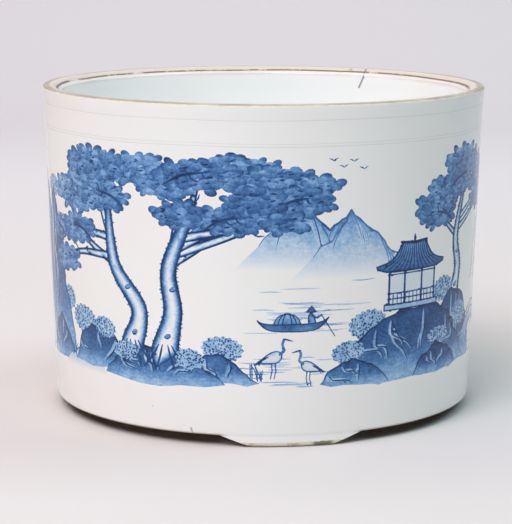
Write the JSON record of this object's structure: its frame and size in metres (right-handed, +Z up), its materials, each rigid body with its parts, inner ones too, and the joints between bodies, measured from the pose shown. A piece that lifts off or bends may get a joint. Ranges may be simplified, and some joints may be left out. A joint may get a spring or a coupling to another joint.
{
  "type": "brush pot",
  "caption": "Heavy round porcelain brush pot with a gently widening wall, a rounded lip sloping inwards, a thick floor and low bracket feet.",
  "frame": {"origin": "on the pot's axis, level with the undersides of the feet", "axes": "+Z up along the pot's axis, -Y towards the front of the painted wall, +X to the right seen from the front"},
  "size_m": [0.194, 0.194, 0.141],
  "materials": {
    "painted_glaze": "clear glaze over underglaze blue painting, glossy",
    "foot_glaze": "clear glaze, wiped off the bevelled edge and underside",
    "biscuit": "unglazed fired clay, matt"
  },
  "bodies": {
    "root": {"wall": "painted_glaze", "floor_disc": "biscuit", "front_foot": "foot_glaze", "right_rear_foot": "foot_glaze", "left_rear_foot": "foot_glaze"}
  },
  "joints": []
}
